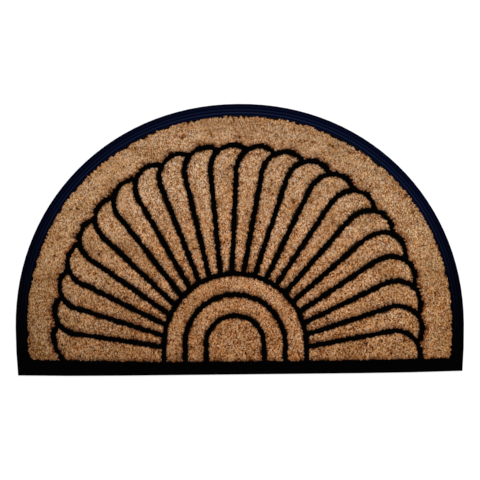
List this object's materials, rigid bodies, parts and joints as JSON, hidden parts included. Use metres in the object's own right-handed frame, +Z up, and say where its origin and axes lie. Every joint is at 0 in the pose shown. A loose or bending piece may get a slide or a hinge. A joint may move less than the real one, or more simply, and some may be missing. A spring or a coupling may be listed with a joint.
{
  "type": "coir doormat",
  "caption": "Half-moon doormat: coir pile panels set in a moulded rubber base whose raised ribs draw a rising fan of petals over a half-round sun.",
  "frame": {"origin": "under the middle of the mat's bounding box, on the floor plane it rests on", "axes": "+X along the straight edge, +Y from the straight edge to the top of the arch, +Z up out of the pile"},
  "size_m": [0.762, 0.46, 0.0125],
  "materials": {
    "moulded_rubber": "black moulded rubber with a faint blue sheen, matt on the base and lightly polished on the rim's ridges",
    "coir_pile": "short stiff brush pile of natural coconut fibre, speckled tan with pale and dark-brown flecks"
  },
  "bodies": {
    "root": {"rubber_base": "moulded_rubber", "coir_border": "coir_pile", "coir_petal_01": "coir_pile", "coir_petal_02": "coir_pile", "coir_petal_03": "coir_pile", "coir_petal_04": "coir_pile", "coir_petal_05": "coir_pile", "coir_petal_06": "coir_pile", "coir_petal_07": "coir_pile", "coir_petal_08": "coir_pile", "coir_petal_09": "coir_pile", "coir_petal_10": "coir_pile", "coir_petal_11": "coir_pile", "coir_petal_12": "coir_pile", "coir_petal_13": "coir_pile", "coir_petal_14": "coir_pile", "coir_petal_15": "coir_pile", "coir_petal_16": "coir_pile", "coir_petal_17": "coir_pile", "coir_petal_18": "coir_pile", "coir_petal_19": "coir_pile", "coir_petal_20": "coir_pile", "coir_petal_21": "coir_pile", "coir_petal_22": "coir_pile", "coir_arc_outer": "coir_pile", "coir_arc_inner": "coir_pile", "coir_sun": "coir_pile"}
  },
  "joints": []
}
